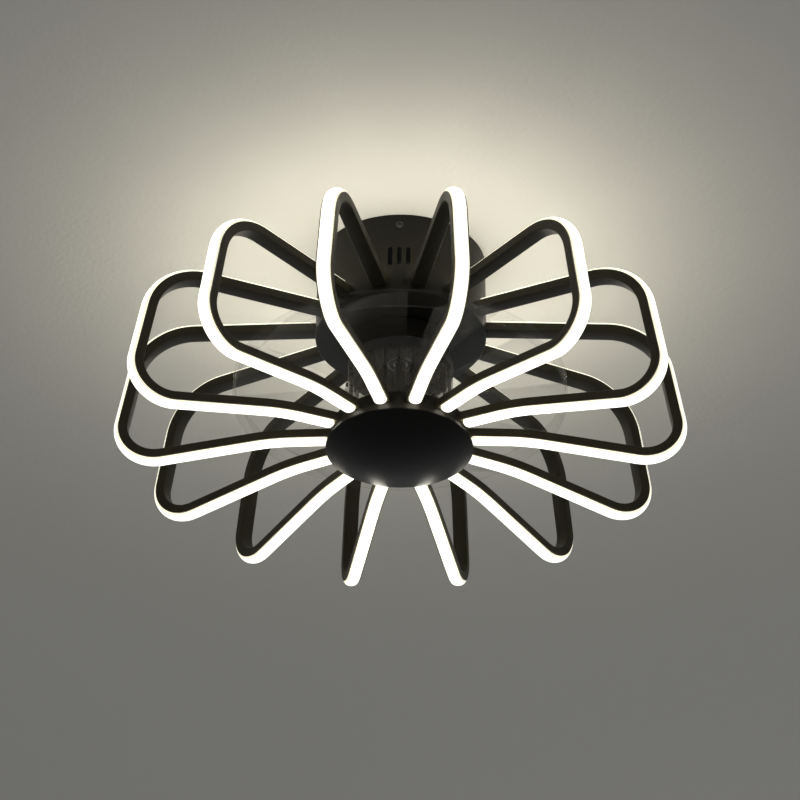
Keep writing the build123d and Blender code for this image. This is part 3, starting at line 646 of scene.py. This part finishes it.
def petal_tree():
    """Rounds a line's corners, sweeps a profile along it and turns copies round the axis."""
    t = Tree("ring_of_petals")
    section = t.named("Profile", "Object")
    ends = t.named("Ends", "Object")
    count = t.named("Count", "Int", petal_count)
    steps = t.named("Bend Steps", "Int", bend_steps)
    paint = t.named("Material", "Material")
    corner = t.add("GeometryNodeInputNamedAttribute", {"data_type": "FLOAT"}, Name="corner")
    swell = t.add("GeometryNodeInputNamedAttribute", {"data_type": "FLOAT"}, Name="swell")
    line = t.add("GeometryNodeMeshToCurve", Mesh=t.start.outputs["Geometry"])
    bent = t.add("GeometryNodeFilletCurve", {"mode": "POLY"}, Curve=line, Count=steps, Radius=corner)
    upright = t.add("GeometryNodeSetCurveNormal", {"mode": "Z_UP"}, Curve=bent)
    outline = t.add("GeometryNodeObjectInfo", out="Geometry", Object=section)
    outline_curve = t.add("GeometryNodeMeshToCurve", Mesh=outline)
    turned_outline = t.add("GeometryNodeTransform", Geometry=outline_curve, Rotation=(0.0, 0.0, -pi / 2))
    swept = t.add(
        "GeometryNodeCurveToMesh", Curve=upright, Profile_Curve=turned_outline, Fill_Caps=True, Scale=swell,
    )
    tips = t.add("GeometryNodeObjectInfo", out="Geometry", Object=ends)
    whole = t.join(swept, tips)
    real = t.add("GeometryNodeGroup", {"node_tree": round_the_axis}, Geometry=whole, Count=count)
    return t.finish(t.add("GeometryNodeSetMaterial", Geometry=real, Material=paint))


ring_of_petals = petal_tree()
print("petal tree has", len(ring_of_petals.nodes), "nodes")

# %% [markdown]
# A tree runs as a modifier on a hidden base mesh. Its inputs are set by each socket's identifier
# before the base is first evaluated. The result is taken as a plain mesh, and the base is deleted,
# its modifier with it.


# %% Running a tree
def run_tree(base, tree, name, smooth_angle, **inputs):
    """Runs a tree on an object and returns the result as a plain mesh object, smoothed up to an angle."""
    modifier = base.modifiers.new("tree", "NODES")
    modifier.node_group = tree
    for item in tree.interface.items_tree:
        if item.in_out == "INPUT" and item.name.replace(" ", "_") in inputs:
            modifier[item.identifier] = inputs[item.name.replace(" ", "_")]
    graph = bpy.context.evaluated_depsgraph_get()
    mesh = bpy.data.meshes.new_from_object(base.evaluated_get(graph))
    bpy.data.objects.remove(base)
    mesh.name = name
    made = bpy.data.objects.new(name, mesh)
    scene.collection.objects.link(made)
    mesh.shade_smooth()
    mesh.set_sharp_from_angle(angle=smooth_angle)
    return made


print("trees:", [group.name for group in bpy.data.node_groups])

# %% [markdown]
# The channel's line starts just inside the hub's round wall and ends just inside the canopy's, so
# that its flat ends leave no slit against the curve. A plate closes each end, and a tongue goes
# on through a slot in the wall, behind which it is folded up into a lug. The diffuser stops a few
# millimetres short of both walls, and its ends are rounded: near an end the profile shrinks along
# a quarter circle. A few points close to each end carry that shrinking as an attribute.

# %% Channel ends
wall_bite = 0.45 * mm
end_wall = 2.0 * mm
tongue_width, tongue_thickness, tongue_gap = 8.0 * mm, 1.5 * mm, 0.2 * mm
lug_height = 6.0 * mm
canopy_wall, hub_wall = 1.2 * mm, 2.0 * mm


def block(work, low, high):
    """Adds a box between two corners to a mesh being made."""
    size = Vector(high) - Vector(low)
    middle = (Vector(high) + Vector(low)) / 2
    bmesh.ops.create_cube(work, size=1.0, matrix=Matrix.Translation(middle) @ Matrix.Diagonal((*size, 1.0)))


def channel_ends():
    """Both ends of one petal, in its plane: the closing plate, and the tongue with its folded lug."""
    work = bmesh.new()
    half = channel_width / 2 - channel_wall / 2
    deep = channel_depth - channel_wall / 2
    half_tongue = tongue_width / 2
    roots = ((canopy_r, canopy_wall, top_root_z, -1), (hub_r, hub_wall, low_root_z, 1))
    for wall_r, wall, root_z, side in roots:
        low, high = sorted((root_z, root_z + side * deep))
        block(work, (wall_r - wall_bite, low, -half), (wall_r + end_wall, high, half))
        tongue_z = root_z + side * channel_depth / 2
        lug_r = wall_r - wall - tongue_gap - tongue_thickness
        low, high = tongue_z - tongue_thickness / 2, tongue_z + tongue_thickness / 2
        block(work, (lug_r, low, -half_tongue), (wall_r, high, half_tongue))
        block(work, (lug_r, low, -half_tongue), (lug_r + tongue_thickness, low + lug_height, half_tongue))
    mesh = bpy.data.meshes.new("channel_ends")
    work.to_mesh(mesh)
    work.free()
    drawn = bpy.data.objects.new("channel_ends", mesh)
    scene.collection.objects.link(drawn)
    return drawn


ends = channel_ends()
print("both ends of a petal:", len(ends.data.polygons), "faces")

# %% Channels
corners, radii = petal_line(hub_r - wall_bite, canopy_r - wall_bite)
line = polyline("channel_line", corners, corner=radii, swell=[1.0] * len(corners))
section = polyline("channel_section", channel_profile(), closed=True)
channels = run_tree(
    line, ring_of_petals, "petal_channels", smooth_angle=radians(32),
    Profile=section, Ends=ends, Material=materials["black_aluminium"],
)
bpy.data.objects.remove(section)
bpy.data.objects.remove(ends)
print("channels:", len(channels.data.polygons), "faces")

# %% Diffusers
end_gap = 2.4 * mm
end_round = 5.5 * mm
end_steps = 7
tip_size = 0.02


def with_round_ends(corners, radii):
    """Adds points near both ends of a line, with the share of its full size that the profile has there."""
    first, second, *middle, last_but_one, last = [Vector(c) for c in corners]
    shares = [1.0 - cos(pi / 2 * i / end_steps) for i in range(end_steps + 1)]
    sizes = [max(tip_size, sqrt(1.0 - (1.0 - s) ** 2)) for s in shares]
    head = (second - first).normalized()
    tail = (last_but_one - last).normalized()
    opening = [first + head * end_round * s for s in shares]
    closing = [last + tail * end_round * s for s in reversed(shares)]
    points = [*opening, second, *middle, last_but_one, *closing]
    swell = [*sizes, *[1.0] * (len(middle) + 2), *reversed(sizes)]
    corner = [0.0] * len(opening) + radii[1:-1] + [0.0] * len(closing)
    return [tuple(p) for p in points], corner, swell


corners, radii = petal_line(hub_r + end_gap, canopy_r + end_gap)
points, corner, swell = with_round_ends(corners, radii)
line = polyline("diffuser_line", points, corner=corner, swell=swell)
outline = diffuser_profile()
across = [x / diffuser_half for x, _ in outline]
section = polyline("diffuser_section", outline, closed=True, across=across)
diffusers = run_tree(
    line, ring_of_petals, "petal_diffusers", smooth_angle=radians(50),
    Profile=section, Material=materials["opal"],
)
bpy.data.objects.remove(section)
rings = ((channels, "petal_channel", "black_aluminium"), (diffusers, "petal_diffuser", "opal"))
for made, part, slot in rings:
    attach(made, "frame")
    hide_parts(*[f"{part}_{i + 1:02d}" for i in range(petal_count)])
    print(made.name, len(made.data.polygons), "faces")

# %% [markdown]
# Behind each diffuser, white boards lie on the channel's floor along its straight runs. Each board
# carries a row of small amber chips. The same tree makes both: a board is a flat section swept along
# a run, and a chip is a smaller section swept along a dash of three millimetres.

# %% Where the boards lie
strip_width, strip_thickness, strip_margin = 10.0 * mm, 1.0 * mm, 4.0 * mm
chip_width, chip_height, chip_length, chip_pitch = 3.0 * mm, 0.7 * mm, 3.0 * mm, 9.0 * mm
board_lift, chip_sink = 0.05 * mm, 0.1 * mm
floor_y = channel_wall - channel_depth


def slab(width, low, high):
    """A flat section: x across the channel, y from its floor."""
    return [(-width / 2, low), (width / 2, low), (width / 2, high), (-width / 2, high)]


def straight_runs():
    """Both ends of each straight stretch of the petal's line, clear of its bends."""
    points, bends = petal_line(hub_r + end_wall, canopy_r + end_wall)
    points = [Vector(p) for p in points]
    turns = [0.0] + [(b - a).angle(c - b) for a, b, c in zip(points, points[1:], points[2:])] + [0.0]
    cuts = [bend * tan(turn / 2) + strip_margin for bend, turn in zip(bends, turns)]
    runs = []
    for a, b, cut_a, cut_b in zip(points, points[1:], cuts, cuts[1:]):
        along = (b - a).normalized()
        if (b - a).length - cut_a - cut_b > 2 * strip_margin:
            runs.append((a + along * cut_a, b - along * cut_b))
    return runs


runs = straight_runs()
print("straight runs of", [round((b - a).length / mm) for a, b in runs], "mm")


# %% Boards and chips
def dashes(runs):
    """Short stretches for the chips, evenly spaced along each run."""
    cut = []
    for a, b in runs:
        along, length = (b - a).normalized(), (b - a).length
        count = int((length - chip_length) / chip_pitch) + 1
        first = (length - (count - 1) * chip_pitch) / 2
        for i in range(count):
            middle = a + along * (first + i * chip_pitch)
            cut.append((middle - along * chip_length / 2, middle + along * chip_length / 2))
    return cut


def separate_lines(name, stretches):
    """A hidden mesh of stretches that don't join."""
    mesh = bpy.data.meshes.new(name)
    points = [(*p, 0.0) for stretch in stretches for p in stretch]
    mesh.from_pydata(points, [(i, i + 1) for i in range(0, len(points), 2)], [])
    mesh.attributes.new("corner", "FLOAT", "POINT")
    mesh.attributes.new("swell", "FLOAT", "POINT").data.foreach_set("value", [1.0] * len(points))
    drawn = bpy.data.objects.new(name, mesh)
    scene.collection.objects.link(drawn)
    return drawn


board_top = floor_y + strip_thickness
board_section = slab(strip_width, floor_y + board_lift, board_top)
chip_section = slab(chip_width, board_top - chip_sink, board_top + chip_height)
for name, stretches, outline, paint in (
    ("light_boards", runs, board_section, "led_board"),
    ("light_chips", dashes(runs), chip_section, "led_chip"),
):
    section = polyline(name + "_section", outline, closed=True)
    made = run_tree(
        separate_lines(name + "_lines", stretches), ring_of_petals, name, smooth_angle=radians(30),
        Profile=section, Material=materials[paint],
    )
    bpy.data.objects.remove(section)
    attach(made, "frame")
    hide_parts("led_strips")
    print(made.name, len(made.data.polygons), "faces from", len(stretches), "stretches")

# %% [markdown]
# Every screw on the lamp is a pan head with a cross recess on a plain shank, so one tree makes them
# all, from points that say which way their heads look. A flattened ball cut by a drum gives the
# head its soft edge, and two crossed bars are taken out of it for the screwdriver. A seeded random
# turn keeps the crosses from lining up, as no fitter stops every screw at the same angle.

# %% The screw tree
head_bulge = 1.06
recess_length, recess_width, recess_level = 1.15, 0.24, 0.95


def screw_tree():
    """Pan head screws with a cross recess, one on each point of a mesh."""
    t = Tree("pan_head_screws")
    head_r = t.named("Head Radius", "Float")
    head_height = t.named("Head Height", "Float")
    shank_r = t.named("Shank Radius", "Float")
    shank_length = t.named("Shank Length", "Float")
    seed = t.named("Seed", "Int", 4)
    paint = t.named("Material", "Material")
    ball = t.add("GeometryNodeMeshUVSphere", Segments=32, Rings=24, Radius=1.0)
    wide = t.math("MULTIPLY", head_r, head_bulge)
    flat = t.add("ShaderNodeCombineXYZ", X=wide, Y=wide, Z=head_height)
    dome = t.add("GeometryNodeTransform", Geometry=ball, Scale=flat)
    drum = t.add("GeometryNodeMeshCylinder", Vertices=32, Radius=head_r, Depth=head_height)
    lift = t.add("ShaderNodeCombineXYZ", Z=t.math("DIVIDE", head_height, 2.0))
    raised = t.add("GeometryNodeTransform", Geometry=drum, Translation=lift)
    head = t.many("GeometryNodeMeshBoolean", {"operation": "INTERSECT"}, 1, dome, raised).outputs[0]
    bar_length = t.math("MULTIPLY", head_r, recess_length)
    bar_width = t.math("MULTIPLY", head_r, recess_width)
    bar_size = t.add("ShaderNodeCombineXYZ", X=bar_length, Y=bar_width, Z=head_height)
    bar_lift = t.add("ShaderNodeCombineXYZ", Z=t.math("MULTIPLY", head_height, recess_level))
    brick = t.add("GeometryNodeMeshCube", Size=bar_size)
    bar = t.add("GeometryNodeTransform", Geometry=brick, Translation=bar_lift)
    cross_bar = t.add("GeometryNodeTransform", Geometry=bar, Rotation=(0.0, 0.0, pi / 2))
    cut = t.many("GeometryNodeMeshBoolean", {"operation": "DIFFERENCE"}, 1, bar, cross_bar)
    t.tree.links.new(head, cut.inputs[0])
    shank = t.add("GeometryNodeMeshCylinder", Vertices=20, Radius=shank_r, Depth=shank_length)
    sunk = t.add("ShaderNodeCombineXYZ", Z=t.math("DIVIDE", shank_length, -2.0))
    screw = t.join(cut.outputs[0], t.add("GeometryNodeTransform", Geometry=shank, Translation=sunk))
    facing = t.add("GeometryNodeInputNamedAttribute", {"data_type": "FLOAT_VECTOR"}, Name="facing")
    aligned = t.add("FunctionNodeAlignRotationToVector", {"axis": "Z"}, Vector=facing)
    chance = t.add("FunctionNodeRandomValue", {"data_type": "FLOAT"}, out=1, _2=0.0, _3=pi / 2, Seed=seed)
    spin = t.add("FunctionNodeAxisAngleToRotation", Axis=(0.0, 0.0, 1.0), Angle=chance)
    pose = t.add("FunctionNodeRotateRotation", {"rotation_space": "LOCAL"}, _0=aligned, _1=spin)
    placed = t.add(
        "GeometryNodeInstanceOnPoints", Points=t.start.outputs["Geometry"], Instance=screw, Rotation=pose,
    )
    real = t.add("GeometryNodeRealizeInstances", Geometry=placed)
    return t.finish(t.add("GeometryNodeSetMaterial", Geometry=real, Material=paint))


pan_head_screws = screw_tree()
print("screw tree has", len(pan_head_screws.nodes), "nodes")

# %% [markdown]
# Four groups of screws use that tree. The box of a CAD node says how high its heads and tips are,
# so only the circles, the heads and the side screws' length are given here. A head is told by its
# radius, its height and its shank's radius.

# %% Screws
m4_head, m3_head = (4.0 * mm, 2.4 * mm, 2.0 * mm), (2.75 * mm, 2.0 * mm, 1.5 * mm)
down, upwards = Vector((0.0, 0.0, -1.0)), Vector((0.0, 0.0, 1.0))


def on_circle(r, z, count, first):
    """Points evenly round the axis, the first at an angle in degrees."""
    angles = [radians(first + 360.0 / count * i) for i in range(count)]
    return [Vector((r * cos(a), r * sin(a), z)) for a in angles]


def screws(node, body, slot, seats, facings, sizes, shank_length):
    """Makes the screws of one CAD node: seats are the points under their heads."""
    mesh = bpy.data.meshes.new(node + "_seats")
    mesh.from_pydata(seats, [], [])
    flat = [v for facing in facings for v in facing]
    mesh.attributes.new("facing", "FLOAT_VECTOR", "POINT").data.foreach_set("vector", flat)
    base = bpy.data.objects.new(node + "_seats", mesh)
    scene.collection.objects.link(base)
    head_r, head_height, shank_r = sizes
    made = run_tree(
        base, pan_head_screws, node + "_made", smooth_angle=radians(40),
        Head_Radius=head_r, Head_Height=head_height,
        Shank_Radius=shank_r, Shank_Length=shank_length, Material=materials[slot],
    )
    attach(made, body)
    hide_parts(node)
    print(made.name, len(made.data.polygons), "faces")


side_screw_shank = 7.2 * mm
base_circle_r, fan_circle_r = 24.0 * mm, 48.0 * mm
rear_module, front_module = (53.5 * mm, 46.0 * mm), (43.5 * mm, -44.0 * mm)
m4_height, m3_height = m4_head[1], m3_head[1]

low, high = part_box("canopy_screws")
seats = on_circle(-low.y - m4_height, (low.z + high.z) / 2, count=3, first=-90)
facings = [Vector((p.x, p.y, 0.0)).normalized() for p in seats]
screws("canopy_screws", "frame", "black_screw", seats, facings, m4_head, side_screw_shank)

low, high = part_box("motor_base_screws")
seats = on_circle(base_circle_r, high.z - m4_height, count=4, first=45)
screws("motor_base_screws", "frame", "zinc_steel", seats, [upwards] * 4, m4_head, high.z - m4_height - low.z)

low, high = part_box("impeller_screws")
seats = on_circle(fan_circle_r, low.z + m4_height, count=4, first=45)
screws("impeller_screws", "fan", "black_screw", seats, [down] * 4, m4_head, high.z - low.z - m4_height)

low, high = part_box("module_screws")
level = high.z - m3_height
seats = [Vector((side * x, y, level)) for x, y in (rear_module, front_module) for side in (1, -1)]
screws("module_screws", "frame", "zinc_steel", seats, [upwards] * 4, m3_head, level - low.z)

# %% [markdown]
# The other pieces keep their CAD form. Its triangles are loose, so each shell is copied, its points
# are merged, and every edge flatter than thirty degrees is shaded smooth, which makes round walls
# look round while folds and rims stay crisp. The cap gets a blacker copy of its slot's enamel,
# which is painted shade.

# %% Smooth shells
merge_distance = 0.004 * mm
smooth_up_to = radians(30)
# the cap's blacker enamel is painted shade, not a different coat
painted_shade_finish = {"bottom_cap": "cap_enamel"}


def smooth_copy(node, slot):
    """A smooth-shaded copy of a CAD node that stands for it, in its slot's material, or for the cap in a
    blacker copy that is painted shade.
    """
    source = frame["nodes"][node]
    mesh = source.data.copy()
    mesh.name = node + "_shell"
    work = bmesh.new()
    work.from_mesh(mesh)
    bmesh.ops.remove_doubles(work, verts=work.verts, dist=merge_distance)
    work.to_mesh(mesh)
    work.free()
    if mesh.attributes.get("custom_normal"):
        mesh.attributes.remove(mesh.attributes["custom_normal"])
    mesh.materials.clear()
    mesh.materials.append(materials[painted_shade_finish.get(node, slot)])
    mesh.shade_smooth()
    mesh.set_sharp_from_angle(angle=smooth_up_to)
    made = bpy.data.objects.new(node + "_shell", mesh)
    scene.collection.objects.link(made)
    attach(made, source["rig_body"])
    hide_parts(node)
    return made


slots = {part["node"]: part["material_slot"] for part in frame["record"]["subparts"]}
remade = {node for node in slots if node.startswith("petal_") or node.endswith("_screws")} | {"led_strips"}
shells = {node: smooth_copy(node, slot) for node, slot in slots.items() if node not in remade}
print("smooth shells:", len(shells))

# %% [markdown]
# The stage is the ceiling itself: a wide pale plane that the canopy touches. Seen from above it
# would hide the lamp, so its upper side lets everything through, and above the canopy it lets light
# through as well, so that one more panel can shine down on the parts inside. Soft light comes from
# large panels below, and the world adds an even grey. What the camera, the clear plastic and bare
# metal see of the world is near white.


# %% Ceiling
def ceiling_paint():
    """Pale matt paint on the lower side, nothing on the upper side, and no shadow above the canopy."""
    paint = {"Base_Color": (0.6, 0.59, 0.55), "Roughness": 0.9, "Specular_IOR_Level": 0.2}
    material, sockets, here = new_material("ceiling_paint", **paint)
    stipple = noise(here, per_metre=170.0, detail=4.0)
    finish(sockets, Normal=bump(stipple, strength=0.4, depth=1.0 * mm))
    back = here.node("ShaderNodeNewGeometry", out="Backfacing")
    reach = here.node("ShaderNodeVectorMath", {"operation": "LENGTH"}, out="Value", _0=here)
    above_canopy = here.math("LESS_THAN", reach, canopy_r)
    unseen = 1.0 - here.node("ShaderNodeLightPath", out="Is Camera Ray")
    gone = here.math("MAXIMUM", back, above_canopy * unseen)
    clear = here.node("ShaderNodeBsdfTransparent")
    painted = here.tree.nodes["Principled BSDF"].outputs[0]
    either = here.node("ShaderNodeMixShader", _0=gone, _1=Wire(here.tree, painted), _2=clear)
    here.tree.links.new(either.socket, here.tree.nodes["Material Output"].inputs["Surface"])
    return material


ceiling_r = 6.0
lift = 0.2 * mm
corners = arc((0.0, 0.0), ceiling_r, start=0, end=-270, steps=3)
mesh = bpy.data.meshes.new("ceiling")
mesh.from_pydata([(*corner, lift) for corner in corners], [], [(0, 1, 2, 3)])
mesh.materials.append(ceiling_paint())
ceiling = bpy.data.objects.new("ceiling", mesh)
scene.collection.objects.link(ceiling)
print("the ceiling's faces look", "down" if mesh.polygons[0].normal.z < 0 else "up")


# %% Light
def soft_panel(name, place, target, size, power):
    """A square area light that looks at a point."""
    data = bpy.data.lights.new(name, "AREA")
    data.size = size
    data.energy = power
    panel = bpy.data.objects.new(name, data)
    panel.location = place
    panel.rotation_euler = (Vector(target) - Vector(place)).to_track_quat("-Z", "Y").to_euler()
    scene.collection.objects.link(panel)
    return panel


middle = (0.0, 0.0, -0.15)
inside_canopy = (0.0, 0.0, -0.06)
soft_panel("key", (-1.4, -2.2, -1.9), middle, size=1.6, power=3.8)
soft_panel("fill", (1.9, -1.2, -1.5), middle, size=1.4, power=2.0)
soft_panel("rear", (0.6, 2.2, -1.4), middle, size=1.4, power=2.0)
soft_panel("above", (0.4, -0.5, 1.3), inside_canopy, size=1.0, power=14.0)

world = bpy.data.worlds.new("world")
scene.world = world
world.use_nodes = True
tree = world.node_tree
ray = tree.nodes.new("ShaderNodeLightPath").outputs
seen = Wire(tree, ray["Is Camera Ray"])
for kind in ("Is Transmission Ray", "Is Glossy Ray"):
    seen = seen.math("MAXIMUM", seen, Wire(tree, ray[kind]))
even_grey, near_white = 0.23, 0.9
background = tree.nodes["Background"].inputs
background["Color"].default_value = (0.86, 0.87, 0.87, 1.0)
connect(tree, background["Strength"], even_grey + seen * (near_white - even_grey))

scene.view_settings.view_transform = "Standard"

# %% [markdown]
